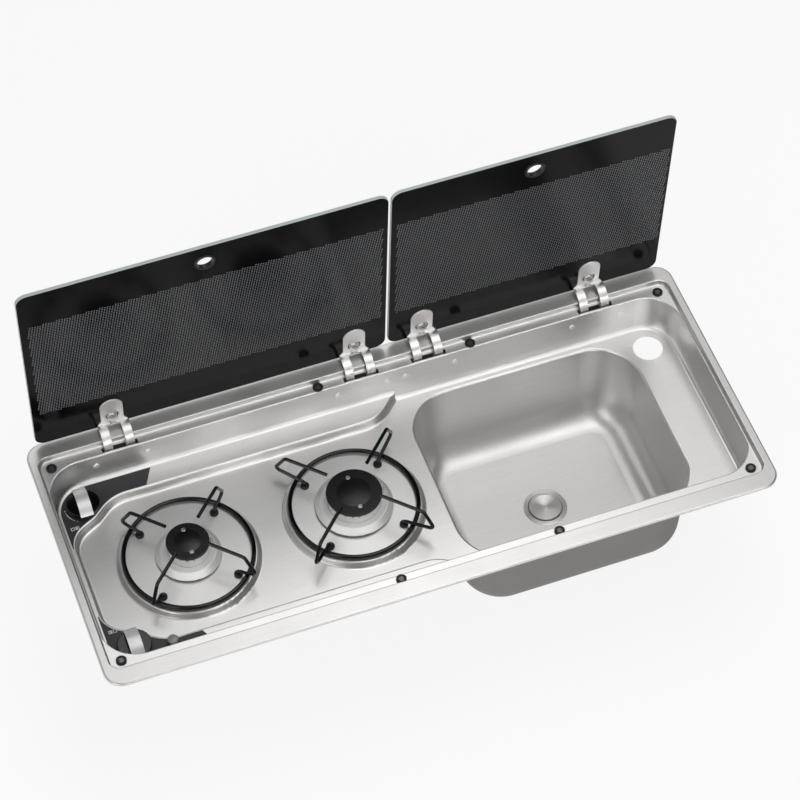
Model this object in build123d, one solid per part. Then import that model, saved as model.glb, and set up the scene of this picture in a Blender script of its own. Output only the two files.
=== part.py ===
from build123d import *
from math import asin, cos, degrees, radians, sin, sqrt, tan
import os

os.makedirs("parts", exist_ok=True)

# Millimetres. +X runs from the hob to the sink, +Y to the lids' hinges and +Z up.
# The origin is the middle of the rim on the worktop plane.

# Pressed top
sheet = 0.8
rim_length = 760.0
rim_width = 325.0
rim_corner = 20.0
rim_top = 3.0
rim_edge_round = 2.0
rim_end = 9.5
rim_side = 21.0
step_length = rim_length - 2 * rim_end
step_width = rim_width - 2 * rim_side
step_corner = 12.0
step_draft = 8.0
step_round = 1.5
ledge_z = -3.5
ledge_end = 2.5
ledge_side = 13.0
recess_length = step_length - 2 * ledge_end
recess_width = step_width - 2 * ledge_side
recess_corner = 40.0
ledge_round = 1.5
shelf_z = -41.0
deck_z = -52.5
wall_draft = 3.3
foot_round = 5.0
deck_edge_round = 2.5

# Hob side of the deck
hob_left = 11.0 - recess_length / 2
hob_right = hob_left + 367.0
knob_bay_x = hob_left + 32.5
burner_bay_x = hob_left + 56.5
burner_bay_half = recess_width / 2 - 31.2
knob_bay_half = burner_bay_half - 19.8
hob_left_half = knob_bay_half - 16.7
hob_corners = (30.0, 23.0, 45.0, 45.0)

# Burners
sides = ("right", "left")
burner_y = -1.0
burner_x = {"right": hob_right - 65.0, "left": hob_left + 112.4}
plateau_base_r = 78.0
plateau_top_r = 75.0
plateau_z = -45.5
plateau_round = 2.5
skirt_r = {"right": 43.0, "left": 36.0}
skirt_z = -42.0
cap_r = {"right": 30.8, "left": 23.7}
cap_rim_z = {"right": -19.8, "left": -18.0}
cap_thick = 3.0
cap_dome = 1.8
cap_screw_r = {"right": 20.0, "left": 15.0}
electrode_r = {"right": 36.5, "left": 29.8}
probe_r = {"right": 33.0, "left": 26.2}
crown_seat_z = -38.0
body_top_z = -40.0
body_bottom_z = -72.0
body_wall = 2.5
mixer_z = -62.0
mixer_r = 9.0
mixer_end = {"right": 52.0, "left": 45.0}
mixer_angle = {"right": 180.0, "left": -90.0}
injector_length = 12.0
ports = {"right": 24, "left": 18}

# Pan supports
ring_r = 70.5
ring_wire_r = 2.5
arm_wire_r = 2.0
arm_top_z = -7.0
arm_inner_r = {"right": 32.5, "left": 25.7}
arm_outer_r = {"right": 83.3, "left": 68.7}
arm_low_r = {"right": 96.6, "left": 81.6}
arm_low_z = -31.0
peg_r = 60.0
peg_z = -54.0
arm_bend = 4.5
support_angles = (45, 135, 225, 315)
grommet_height = 3.5

# Bowl and waste
bowl_left = hob_right + 32.5
bowl_right = recess_length / 2 - 56.7
bowl_x = (bowl_left + bowl_right) / 2
bowl_length = bowl_right - bowl_left
bowl_width = recess_width - 27.2
bowl_corner = 52.5
bowl_floor_z = -165.7
bowl_floor_round = 30.0
bowl_edge_round = 3.0
drain_x = bowl_x - 1.6
drain_r = 22.0
waste_r = 25.0
waste_tube_r = 21.5
waste_tube_length = 20.0
waste_body_r = 25.0
waste_body_z = bowl_floor_z - 36.0
spigot_r = 12.5
spigot_length = 28.0
tap_hole_r = 17.0
tap_hole_x = recess_length / 2 - 34.5
tap_hole_y = recess_width / 2 - 34.7

# Lids, drawn closed and turned open at the end
hinge_y = rim_width / 2 - 10.2
hinge_z = -7.9
lid_open = 87.0
glass = 4.0
glass_z = -1.4
lid_rear_y = hinge_y - 14.4
lid_front_y = 7.4 - step_width / 2
lid_depth = lid_rear_y - lid_front_y
lid_edge_x = step_length / 2 - 5.0
lid_gap_x = hob_right + 30.2
lid_gap = 3.0
lid_corner = 12.0
grip_up = lid_depth - 26.0
grip_r = 9.0
grip_flange_r = 11.8
grip_flange = 1.2
hinge_x = {"left": (87.2 - lid_edge_x, lid_gap_x - 38.8), "right": (lid_gap_x + 41.0, lid_edge_x - 83.8)}
tongue = 1.2
tongue_width = 26.0
tongue_flare = 34.0
tongue_length = 47.0
strap_r = 18.8
strap_thick = 1.8
strap_width = 9.6
strap_x = 12.5
strap_end = 264.0
knuckle_r = 4.4
hinge_pin_r = 2.5
running = 0.05
hinge_screw_up = 18.2
hinge_head_r = 5.2
hinge_head_high = 2.2
lip_end = 171.0
stop_up = 8.6
stop_r = 3.3
stop_high = 0.5
slot_length = 41.0
slot_width = 6.0
slot_y = hinge_y - sqrt(strap_r**2 - (ledge_z - hinge_z) ** 2)
rivet_x = 29.5
rivet_z = -19.0

# Buffers and screws on the ledge
corner_screw_x = recess_length / 2 - 11.0
corner_screw_y = step_width / 2 - 11.7
side_screw_x = (hob_right - 59.1, hob_right + 121.2)
side_screw_y = step_width / 2 - 6.7
ledge_points = [(x, y) for x in (-corner_screw_x, corner_screw_x) for y in (-corner_screw_y, corner_screw_y)]
ledge_points += [(x, y) for x in side_screw_x for y in (-side_screw_y, side_screw_y)]
dimple_r = 6.6
dimple_deep = 0.6
buffer_r = 5.7
buffer_top = -1.5
screw_r = 2.0
screw_neck_r = 1.75
screw_end = -24.0

# Small parts
seal_inset = 2.8
seal_width = 5.0
head_r = 3.0
head_high = 1.6
buffer_web = 0.7
nut_r = 8.0
nut_high = 3.0
bracket_thick = 2.0
bracket_width = 76.0
bracket_floor_z = hinge_z - strap_r - strap_thick / 2 - 0.8
bracket_low = bracket_floor_z - bracket_thick
bracket_top = -11.0
cheek_top = -4.8
washer_thick = 1.5
rivet_shank_r = 1.6
rivet_head_r = 3.7
grommet_neck_r = 3.9
grommet_r = 4.75
ceramic_r = 2.6
probe_thick = 1.6
cap_screw_shank = 1.5
cap_head_r = 2.6
switch_r = 4.9
switch_low_z = -58.0
bezel_top_z = -38.0
spring_low_z = -55.9
spring_length = 8.0
spring_coil_r = 3.0
spring_wire = 0.4
stem_top_z = -34.5
stem_low_z = -54.0
rod_r = 1.9
rod_low_z = -70.0
rod_top_z = -46.0
pipe_nut_r = 6.3
pipe_nut_length = 7.0
probe_top_z = -27.0
electrode_top_z = -33.0
ceramic_low_z = -58.0
generator_length = 48.0
generator_wide = 20.0
generator_high = 24.0
strainer_gap = 0.9
strainer_hub_r = 4.0

# Controls
knob_x = hob_left + 22.5
knob_y = recess_width / 2 - 32.5
knob_rows = {"rear": 1.0, "front": -1.0}
knob_r = 18.5
knob_low = -37.0
knob_disc_top = -33.0
knob_top = -23.0
handle_width = 14.3
handle_length = 39.0
handle_shell = 1.4
knob_push = 3.0
stem_r = 4.0
tap_r = 10.0
tap_flange_r = 14.0
tap_bottom_z = -82.0
rail_z = -68.0
rail_r = 5.0
inlet_r = 4.0
inlet_end = 142.0
pipe_r = 3.0
pipe_z = -62.0
plate_thick = 0.5
plate_end_x = knob_x + 84.6
button_x = knob_x + 40.0
button_y = -knob_y - 8.0
generator_x = button_x + 56.5
generator_y = button_y - 7.0
button_r = 4.2
bezel_r = 6.0
button_head_r = 6.0
button_push = 2.0
button_top = -33.3


def block(length, width, corner, z_top, z_bottom, draft=0.0, x=0.0):
    """A rounded block between two heights that narrows downwards with the draft."""
    outline = Pos(x, 0, z_top) * RectangleRounded(length, width, corner)
    return extrude(outline, amount=z_top - z_bottom, dir=(0, 0, -1), taper=draft)


def rod(x, y, r, z_low, z_high):
    """An upright cylinder between two heights."""
    return Pos(x, y, (z_low + z_high) / 2) * Cylinder(r, z_high - z_low)


def tube(x, y, r_out, r_in, z_low, z_high):
    """An upright tube between two heights."""
    return rod(x, y, r_out, z_low, z_high) - rod(x, y, r_in, z_low, z_high)


def turned(points):
    """A solid turned about the Z axis from (radius, height) points."""
    profile = Plane.XZ * make_face(Polyline(*points, close=True))
    return revolve(profile, Axis.Z)


def level(shape, z, near=None):
    """The edges that lie wholly at one height, filtered by near."""
    found = []
    for edge in shape.edges():
        box = edge.bounding_box()
        flat = abs(box.min.Z - z) < 0.01 and abs(box.max.Z - z) < 0.01
        if flat and (near is None or near(box.center())):
            found.append(edge)
    return found


def keep(node, shape):
    """Writes one piece."""
    export_step(shape, "parts/" + node + ".step")


def hob_outline(grow):
    """The low deck's outline: narrow at the knobs, wide at the burners, open towards the sink."""
    far_y = rim_width / 2
    half = [
        (hob_left, hob_left_half),
        (knob_bay_x, knob_bay_half),
        (burner_bay_x, burner_bay_half),
        (hob_right, burner_bay_half),
        (hob_right + far_y - burner_bay_half, far_y),
        (rim_length, far_y),
    ]
    corners = half + [(x, -y) for x, y in reversed(half)]
    outline = make_face(Polyline(*corners, close=True))
    for (x, y), r in zip(half, hob_corners):
        for side in (1, -1):
            corner = [v for v in outline.vertices() if abs(v.X - x) < 0.01 and abs(v.Y - side * y) < 0.01]
            outline = fillet(corner, r)
    return offset(outline, grow, kind=Kind.ARC) if grow else outline


def flared(space, z, r):
    """Rounds the mouth of a hollow outwards where it meets a level face."""
    wide = 4 * rim_length
    slab = Pos(0, 0, z + 5) * Box(wide, wide, 10)
    space = slab + space
    mouth = level(space, z, lambda c: abs(c.X) < rim_length - 1 and abs(c.Y) < rim_width)
    space = fillet(mouth, r)
    return space & (Pos(0, 0, z - rim_length) * Box(wide, wide, 2 * rim_length))


def deck_bay(grow):
    """The space between shelf and deck, with a rounded edge at the top and a rounded foot."""
    top = shelf_z - grow
    drop = shelf_z - deck_z
    bay = extrude(Pos(0, 0, top) * hob_outline(grow), amount=drop, dir=(0, 0, -1))
    bay = fillet(level(bay, top - drop, lambda c: c.X < rim_length - 1), foot_round - 1 + grow)
    return flared(bay, top, deck_edge_round - grow)


def plateau(side, grow):
    """A burner's raised plateau as a cone frustum."""
    height = plateau_z - deck_z
    r_low = plateau_base_r - grow
    r_high = plateau_top_r - grow
    middle = (plateau_z + deck_z) / 2 - grow
    return Pos(burner_x[side], burner_y, middle) * Cone(r_low, r_high, height)


def pressing(grow):
    """The space above the sheet, grown downwards and outwards by the sheet's thickness for its lower face."""
    ledge = ledge_z - grow
    shelf = shelf_z - grow
    deck = deck_z - grow
    length = recess_length + 2 * grow
    width = recess_width + 2 * grow
    corner = recess_corner + grow
    high = block(length, width, corner, ledge, shelf, wall_draft)
    high = fillet(level(high, shelf), foot_round + grow)
    low = block(length, width, corner, ledge, deck, wall_draft)
    low = fillet(level(low, deck), foot_round + grow)
    above = extrude(Pos(0, 0, ledge) * hob_outline(grow), amount=ledge - shelf, dir=(0, 0, -1))
    recess = flared(high + (low & (above + deck_bay(grow))), ledge, ledge_round - grow)
    length = step_length + 2 * grow
    width = step_width + 2 * grow
    step = block(length, width, step_corner + grow, rim_top, ledge, step_draft)
    step = fillet(level(step, ledge), step_round + grow)
    space = recess + step
    bottom = bowl_floor_z - grow
    length = bowl_length + 2 * grow
    width = bowl_width + 2 * grow
    bowl = block(length, width, bowl_corner + grow, deck, bottom, wall_draft, bowl_x)
    bowl = fillet(level(bowl, bottom), bowl_floor_round + grow)
    space = space + flared(bowl, deck, bowl_edge_round - grow)
    for side in sides:
        space = space - plateau(side, grow)
    for side in sides:
        x = burner_x[side]
        foot = level(space, deck, lambda c: abs(c.X - x) < 1 and abs(c.Y - burner_y) < 1)
        space = fillet(foot, plateau_round + grow)
        brow = level(space, plateau_z - grow, lambda c: abs(c.X - x) < 1 and abs(c.Y - burner_y) < 1)
        space = fillet(brow, plateau_round - grow)
    return space


def dimples(grow):
    """The seats of the eight buffers in the ledge."""
    low = ledge_z - dimple_deep - grow
    return [rod(x, y, dimple_r + grow, low, rim_top - 1) for x, y in ledge_points]


def wall_y(z, out=0.0):
    """The Y of the recess's back wall at a height, out being a distance behind its upper face."""
    return recess_width / 2 + out - (ledge_z - z) * tan(radians(wall_draft))


def wall_axis(x, z):
    """The place of a rivet on the back wall, its Z pointing into the recess at right angles to the wall."""
    return Pos(x, wall_y(z), z) * Rot(90 - wall_draft, 0, 0)


def hinges():
    """The X of every hinge."""
    return hinge_x["left"] + hinge_x["right"]


def rivet_places():
    """The places of the two rivets of every hinge bracket."""
    return [wall_axis(x + side * rivet_x, rivet_z) for x in hinges() for side in (-1, 1)]


def on_burner(side, r, angle):
    """A point on a circle round a burner."""
    x = burner_x[side] + r * cos(radians(angle))
    y = burner_y + r * sin(radians(angle))
    return x, y


def grommet_points():
    """The places of the pan supports' pegs."""
    return [on_burner(side, peg_r, angle) for side in sides for angle in support_angles]


def make_top():
    """The one-piece pressing with all its holes."""
    upper = pressing(0.0)
    lower = pressing(sheet)
    for cut in dimples(0.0):
        upper = upper + cut
    for cut in dimples(sheet):
        lower = lower + cut
    rim = block(rim_length, rim_width, rim_corner, rim_top, 0)
    rim = fillet(level(rim, rim_top), rim_edge_round)
    hollow = block(rim_length - 2 * sheet, rim_width - 2 * sheet, rim_corner - sheet, rim_top - sheet, -1)
    hollow = fillet(level(hollow, rim_top - sheet), rim_edge_round - sheet)
    lid = Pos(0, 0, rim_top + 5) * Box(2 * rim_length, 2 * rim_width, 10)
    upper = upper + lid
    mouth = level(upper, rim_top, lambda c: abs(c.X) < rim_length / 2 and abs(c.Y) < rim_width / 2)
    upper = fillet(mouth, step_round)
    body = (rim - hollow) + lower
    inner_x = step_length / 2 + 2
    inner_y = step_width / 2 + 2
    bend = level(body, rim_top - sheet, lambda c: abs(c.X) < inner_x and abs(c.Y) < inner_y)
    body = fillet(bend, step_round - sheet)
    body = body - upper
    cuts = [rod(x, y, screw_r + 0.3, ledge_z - 4, ledge_z + 4) for x, y in ledge_points]
    cuts += [Pos(x, slot_y, ledge_z) * Box(slot_length, slot_width, 4) for x in hinges()]
    cuts += [place * Cylinder(rivet_shank_r + running, 6) for place in rivet_places()]
    cuts += [rod(x, y, grommet_neck_r + 0.1, plateau_z - 3, plateau_z + 3) for x, y in grommet_points()]
    for side in sides:
        x = burner_x[side]
        cuts.append(rod(x, burner_y, neck_r(side) + 0.5, plateau_z - 3, plateau_z + 3))
        cuts.append(rod(x, burner_y + electrode_r[side], ceramic_r + 0.6, plateau_z - 3, plateau_z + 3))
        cuts.append(rod(x + probe_r[side], burner_y, probe_thick + 0.6, plateau_z - 3, plateau_z + 3))
    cuts += [rod(knob_x, row * knob_y, stem_r + 1, shelf_z - 3, shelf_z + 3) for row in knob_rows.values()]
    cuts.append(rod(button_x, button_y, switch_r + 0.2, shelf_z - 3, shelf_z + 3))
    cuts.append(rod(tap_hole_x, tap_hole_y, tap_hole_r, deck_z - 3, deck_z + 3))
    cuts.append(rod(drain_x, 0, drain_r, bowl_floor_z - 3, bowl_floor_z + 3))
    for cut in cuts:
        body = body - cut
    return body


def neck_r(side):
    """The outer radius of a burner body's neck, under the crown."""
    return cap_r[side] - 2.8


def make_rim_parts():
    """The foam seal under the rim, the buffers on the ledge and the screws in them."""
    length = rim_length - 2 * seal_inset
    width = rim_width - 2 * seal_inset
    top = rim_top - sheet
    seal = block(length, width, rim_corner - seal_inset, top, 0)
    corner = rim_corner - seal_inset - seal_width
    inside = block(length - 2 * seal_width, width - 2 * seal_width, corner, top + 1, -1)
    keep("rim_seal", seal - inside)
    floor_z = ledge_z - dimple_deep
    profile = [
        (screw_r + 0.2, floor_z),
        (buffer_r, floor_z),
        (buffer_r, buffer_top - 0.6),
        (buffer_r - 0.6, buffer_top),
        (head_r + 0.3, buffer_top),
        (head_r + 0.3, floor_z + buffer_web),
        (screw_r + 0.2, floor_z + buffer_web),
    ]
    buffer = turned(profile)
    keep("lid_buffers", Compound([Pos(x, y, 0) * buffer for x, y in ledge_points]))
    head_z = floor_z + buffer_web
    slot = Pos(0, 0, head_z + head_high) * Box(2 * head_r - 1, 0.8, 1.2)
    cross = slot + Rot(0, 0, 90) * slot
    head = rod(0, 0, head_r, head_z, head_z + head_high)
    head = fillet(level(head, head_z + head_high), 0.4) - cross
    neck_z = floor_z - sheet - 0.5
    neck = rod(0, 0, screw_neck_r, neck_z, head_z)
    shank = rod(0, 0, screw_r, screw_end + 2, neck_z)
    tip = Pos(0, 0, screw_end + 1) * Cone(0.4, screw_r, 2)
    screw = head + neck + shank + tip
    keep("fixing_screws", Compound([Pos(x, y, 0) * screw for x, y in ledge_points]))


def closed_to_open(shape):
    """Turns a closed lid's piece to the open pose."""
    return shape.rotate(Axis((0, hinge_y, hinge_z), (1, 0, 0)), -lid_open)


def lid_span(side):
    """The two end X values of a lid."""
    if side == "left":
        return -lid_edge_x, lid_gap_x - lid_gap / 2
    return lid_gap_x + lid_gap / 2, lid_edge_x


def strap_arc(end):
    """The side view of the sheet that curves about the hinge pin, from the tongue to an end angle."""
    reach = (glass_z - tongue / 2) - hinge_z
    start = 180 - degrees(asin(reach / strap_r))
    outer = strap_r + strap_thick / 2
    inner = strap_r - strap_thick / 2
    points = []
    for r, ends in ((outer, (start, end)), (inner, (end, start))):
        middle = (ends[0] + ends[1]) / 2
        points.append([(r * cos(radians(a)), r * sin(radians(a))) for a in (ends[0], middle, ends[1])])
    first = ThreePointArc(*points[0])
    second = ThreePointArc(*points[1])
    sides_in = Line(points[0][2], points[1][0])
    sides_out = Line(points[1][2], points[0][0])
    return make_face([first, sides_in, second, sides_out])


def strap_profile():
    """A strap from the side: the arc, a spoke and the knuckle round the pin."""
    spoke = Pos(strap_r / 2, strap_thick / 2 + 0.2, 0) * Rectangle(strap_r, strap_thick + 1.2)
    spoke = Rot(0, 0, strap_end) * spoke
    knuckle = Circle(knuckle_r)
    return strap_arc(strap_end) + spoke + knuckle - Circle(hinge_pin_r + running)


def swept(face, width):
    """A side view made as wide as given, in the closed pose, centred on X = 0."""
    upright = Rot(90, 0, 0) * Rot(0, 90, 0)
    return Pos(0, hinge_y, hinge_z) * upright * extrude(face, amount=width / 2, both=True)


def make_tongue():
    """One tongue in the closed pose under the glass, centred on X = 0, with the lip its straps leave from."""
    rear = hinge_y - strap_r + 0.6
    tip = lid_rear_y - tongue_length + tongue_width / 2
    wide = tongue_flare / 2
    thin = tongue_width / 2
    half = [(wide, rear), (wide, rear - 1), (thin, rear - 6.5), (thin, tip)]
    outline = make_face(Polyline(*half, *[(-x, y) for x, y in reversed(half)], close=True))
    outline = outline + Pos(0, tip) * Circle(thin)
    under = glass_z - tongue
    plate = extrude(Pos(0, 0, glass_z) * outline, amount=tongue, dir=(0, 0, -1))
    plate = chamfer(level(plate, under), 0.4)
    screw_y = lid_rear_y - hinge_screw_up
    stop_y = lid_rear_y - stop_up
    plate = plate + rod(0, stop_y, stop_r, under - stop_high, under + 0.2)
    plate = plate - rod(0, screw_y, screw_r + 0.2, glass_z - 5, glass_z + 5)
    slots = Pos(0, stop_y) * SlotArc(CenterArc((0, 0), stop_r + 0.8, 25, 130), 0.9)
    for start in (-38, 142):
        slots = slots + Pos(0, screw_y) * SlotArc(CenterArc((0, 0), hinge_head_r + 1.5, start, 76), 1.3)
    plate = plate - extrude(Pos(0, 0, glass_z + 1) * slots, amount=tongue + 3, dir=(0, 0, -1))
    return plate + swept(strap_arc(lip_end), tongue_flare)


def make_lid(side):
    """One lid's glass, grip grommet, hinge arms, screws and cap nuts, turned open."""
    x_low, x_high = lid_span(side)
    middle = (x_low + x_high) / 2
    top = glass_z + glass
    outline = Pos(middle, (lid_rear_y + lid_front_y) / 2, glass_z)
    outline = outline * RectangleRounded(x_high - x_low, lid_depth, lid_corner)
    pane = extrude(outline, amount=glass)
    pane = chamfer(level(pane, glass_z) + level(pane, top), 0.5)
    grip_y = lid_rear_y - grip_up
    pane = pane - rod(middle, grip_y, grip_r + 1.2, glass_z - 5, top + 5)
    screw_y = lid_rear_y - hinge_screw_up
    arms = []
    screws = []
    nuts = []
    for x in hinge_x[side]:
        pane = pane - rod(x, screw_y, screw_r + 0.6, glass_z - 5, top + 5)
        arm = Pos(x, 0, 0) * make_tongue()
        for way in (-1, 1):
            arm = arm + Pos(x + way * strap_x, 0, 0) * swept(strap_profile(), strap_width)
        arms.append(arm)
        seat = glass_z - tongue
        head = rod(x, screw_y, hinge_head_r, seat - hinge_head_high, seat)
        head = fillet(level(head, seat - hinge_head_high), hinge_head_high - 0.4)
        shank = rod(x, screw_y, screw_r - 0.05, seat, top + nut_high - 1)
        slot = Pos(x, screw_y, seat - hinge_head_high) * Box(2 * screw_r + 2, 1.0, 1.6)
        screws.append(head + shank - slot)
        nut = rod(x, screw_y, nut_r, top, top + nut_high)
        nut = fillet(level(nut, top + nut_high), 0.8)
        nuts.append(nut - rod(x, screw_y, screw_r, top - 1, top + nut_high - 0.9))
    keep("lid_glass_" + side, closed_to_open(pane))
    keep("hinge_arms_" + side, Compound([closed_to_open(arm) for arm in arms]))
    keep("hinge_screws_" + side, Compound([closed_to_open(screw) for screw in screws]))
    keep("hinge_nuts_" + side, Compound([closed_to_open(nut) for nut in nuts]))
    low = glass_z - grip_flange
    high = top + grip_flange
    profile = [
        (grip_r, low + 0.5),
        (grip_r + 0.5, low),
        (grip_flange_r - 0.8, low),
        (grip_flange_r, glass_z),
        (grip_r + 1.15, glass_z),
        (grip_r + 1.15, top),
        (grip_flange_r, top),
        (grip_flange_r - 0.8, high),
        (grip_r + 0.5, high),
        (grip_r, high - 0.5),
    ]
    grommet = Pos(middle, grip_y, 0) * turned(profile)
    keep("grip_grommet_" + side, closed_to_open(grommet))


def make_hinge_fixed():
    """The brackets behind the back wall, their rivets, the hinge pins and the friction washers."""
    shells = []
    for out in (sheet + bracket_thick, sheet):
        length = recess_length + 2 * out
        width = recess_width + 2 * out
        shells.append(block(length, width, recess_corner + out, ledge_z - sheet, shelf_z, wall_draft))
    shell = shells[0] - shells[1]
    cheek_in = strap_x + strap_width / 2 + washer_thick + 0.1
    cheek_x = cheek_in + bracket_thick / 2
    depth = hinge_y + knuckle_r - wall_y(bracket_top, sheet + bracket_thick) + 1.5
    brackets = []
    pins = []
    washers = []
    for x in hinges():
        window = Pos(x, recess_width / 2, (bracket_low + bracket_top) / 2)
        bracket = shell & (window * Box(bracket_width, 20, bracket_top - bracket_low))
        for way in (-1, 1):
            cheek = Pos(x + way * cheek_x, hinge_y + knuckle_r - depth / 2, (bracket_low + cheek_top) / 2)
            bracket = bracket + cheek * Box(bracket_thick, depth, cheek_top - bracket_low)
        base = Pos(x, hinge_y + knuckle_r - depth / 2, bracket_floor_z - bracket_thick / 2)
        bracket = bracket + base * Box(2 * cheek_x + bracket_thick, depth, bracket_thick)
        bracket = bracket - Pos(x, hinge_y, hinge_z) * Rot(0, 90, 0) * Cylinder(hinge_pin_r + running, 80)
        for way in (-1, 1):
            bracket = bracket - wall_axis(x + way * rivet_x, rivet_z) * Cylinder(rivet_shank_r + running, 10)
        brackets.append(bracket)
        half = cheek_in + bracket_thick
        pin = Pos(x, hinge_y, hinge_z) * Rot(0, 90, 0) * Cylinder(hinge_pin_r, 2 * half + 0.2)
        for way in (-1, 1):
            head = Pos(x + way * (half + 0.1 + 0.75), hinge_y, hinge_z) * Rot(0, 90, 0)
            pin = pin + head * Cylinder(hinge_pin_r + 1.2, 1.5)
            washer = Pos(x + way * (cheek_in - 0.05 - washer_thick / 2), hinge_y, hinge_z) * Rot(0, 90, 0)
            hole = Cylinder(hinge_pin_r + running, washer_thick)
            washers.append(washer * (Cylinder(knuckle_r, washer_thick) - hole))
        pins.append(pin)
    keep("hinge_brackets", Compound(brackets))
    keep("hinge_pins", Compound(pins))
    keep("hinge_washers", Compound(washers))
    grip = sheet + bracket_thick + sheet * tan(radians(wall_draft))
    dome = rivet_head_r - 0.8
    profile = [
        (0, -grip - 1),
        (rivet_shank_r + 1, -grip - 1),
        (rivet_shank_r + 1, -grip - 0.02),
        (rivet_shank_r, -grip - 0.02),
        (rivet_shank_r, 0.02),
        (rivet_head_r, 0.02),
        (rivet_head_r - 0.3, 0.8),
        (dome, 1.3),
        (0, 1.5),
    ]
    rivet = turned(profile)
    keep("hinge_rivets", Compound([place * rivet for place in rivet_places()]))


def make_burner(side):
    """One burner from the cast body under the deck to the cap."""
    x = burner_x[side]
    neck = neck_r(side)
    cap = cap_r[side]
    skirt = skirt_r[side]
    at = Pos(x, burner_y, 0)
    under = plateau_z - sheet
    flange = skirt - 1.5
    body = rod(0, 0, neck, body_bottom_z, body_top_z) + rod(0, 0, flange, under - 3, under)
    start = neck - body_wall - 1
    end = mixer_end[side]
    length = end - start
    toward = Rot(0, 0, mixer_angle[side])
    mixer = toward * Pos((start + end) / 2, 0, mixer_z) * Rot(0, 90, 0)
    body = body + mixer * Cylinder(mixer_r, length)
    body = body - rod(0, 0, neck - body_wall, body_bottom_z + body_wall, body_top_z + 1)
    body = body - mixer * Cylinder(mixer_r - 2, length + 2)
    body = body - toward * Pos(end - 14, 0, mixer_z) * Box(9, 3 * mixer_r, mixer_r)
    body = body - rod(0, electrode_r[side], ceramic_r + 0.6, under - 9, under + 1)
    body = body - rod(probe_r[side], 0, probe_thick + 0.6, under - 9, under + 1)
    keep("burner_body_" + side, at * body)

    profile = [
        (neck - 2.2, body_top_z),
        (skirt - 3, body_top_z),
        (skirt - 1.5, skirt_z),
        (skirt, skirt_z),
        (skirt, skirt_z + 0.8),
        (skirt - 5.5, skirt_z + 7.0),
        (skirt - 6.5, skirt_z + 7.2),
        (skirt - 7.2, skirt_z + 6.4),
        (neck + 1.6, crown_seat_z + 1.6),
        (neck + 1.6, crown_seat_z),
        (neck - 2.2, crown_seat_z),
    ]
    cone = turned(profile)
    cone = cone - rod(0, electrode_r[side], ceramic_r + 0.3, skirt_z - 5, crown_seat_z + 10)
    cone = cone - rod(probe_r[side], 0, probe_thick + 0.3, skirt_z - 5, crown_seat_z + 10)
    cone = cone - Pos(0, -skirt, skirt_z) * Box(4, 5, 1.6)
    keep("burner_skirt_" + side, at * cone)

    cap_low = cap_rim_z[side] - cap_thick
    crown_r = neck + 1.0
    crown = tube(0, 0, crown_r, crown_r - 4, crown_seat_z, cap_low)
    spigot = neck - body_wall - 0.3
    crown = crown + tube(0, 0, spigot, spigot - 2.5, crown_seat_z - 5, crown_seat_z + 1)
    boss_y = cap_screw_r[side]
    for end in (-1, 1):
        boss = rod(0, end * boss_y, 3.4, crown_seat_z, cap_low)
        bridge = Pos(0, end * (boss_y + crown_r - 2) / 2, (crown_seat_z + cap_low) / 2)
        crown = crown + boss + bridge * Box(3, crown_r - 2 - boss_y, cap_low - crown_seat_z)
    port = Pos(crown_r - 2, 0, cap_low - 2.5) * Box(6, 1.6, 5)
    count = ports[side]
    for i in range(count):
        crown = crown - Rot(0, 0, (i + 0.5) * 360 / count) * port
    for end in (-1, 1):
        crown = crown - rod(0, end * boss_y, cap_screw_shank, cap_low - 8, cap_low + 1)
    keep("burner_crown_" + side, at * crown)

    rim_z = cap_rim_z[side]
    dome_r = 0.62 * cap
    plate = rod(0, 0, cap, cap_low, rim_z)
    plate = fillet(level(plate, rim_z), 0.8)
    ball = (dome_r * dome_r + cap_dome * cap_dome) / (2 * cap_dome)
    dome = Pos(0, 0, rim_z + cap_dome - ball) * Sphere(ball)
    dome = dome & rod(0, 0, dome_r, rim_z - 1, rim_z + 5)
    plate = plate + dome
    heads = []
    for end in (-1, 1):
        plate = plate - rod(0, end * boss_y, cap_screw_shank + 0.2, cap_low - 1, rim_z + 5)
        plate = plate - rod(0, end * boss_y, cap_head_r + 0.2, rim_z - 0.6, rim_z + 5)
        head = rod(0, end * boss_y, cap_head_r, rim_z - 0.6, rim_z + 0.9)
        head = fillet(level(head, rim_z + 0.9), 0.6)
        shank = rod(0, end * boss_y, cap_screw_shank - 0.05, cap_low - 7, rim_z)
        heads.append(head + shank)
    keep("burner_cap_" + side, at * plate)
    keep("cap_screws_" + side, at * Compound(heads))


def make_support(side):
    """One pan support: a ring with four folded arms that end in pegs."""
    spine = Pos(0, 0, shelf_z) * Torus(ring_r, ring_wire_r)
    low_z = shelf_z + ring_wire_r + arm_wire_r
    points = [
        (arm_inner_r[side], 0, arm_top_z),
        (arm_outer_r[side], 0, arm_top_z),
        (arm_low_r[side], 0, arm_low_z),
        (ring_r, 0, low_z),
        (peg_r, 0, low_z - 1.5),
        (peg_r, 0, peg_z),
    ]
    path = FilletPolyline(*points, radius=arm_bend)
    section = Plane(origin=points[0], z_dir=(1, 0, 0)) * Circle(arm_wire_r)
    arm = sweep(section, path)
    for angle in support_angles:
        spine = spine + Rot(0, 0, angle) * arm
    keep("pan_support_" + side, Pos(burner_x[side], burner_y, 0) * spine)


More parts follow.
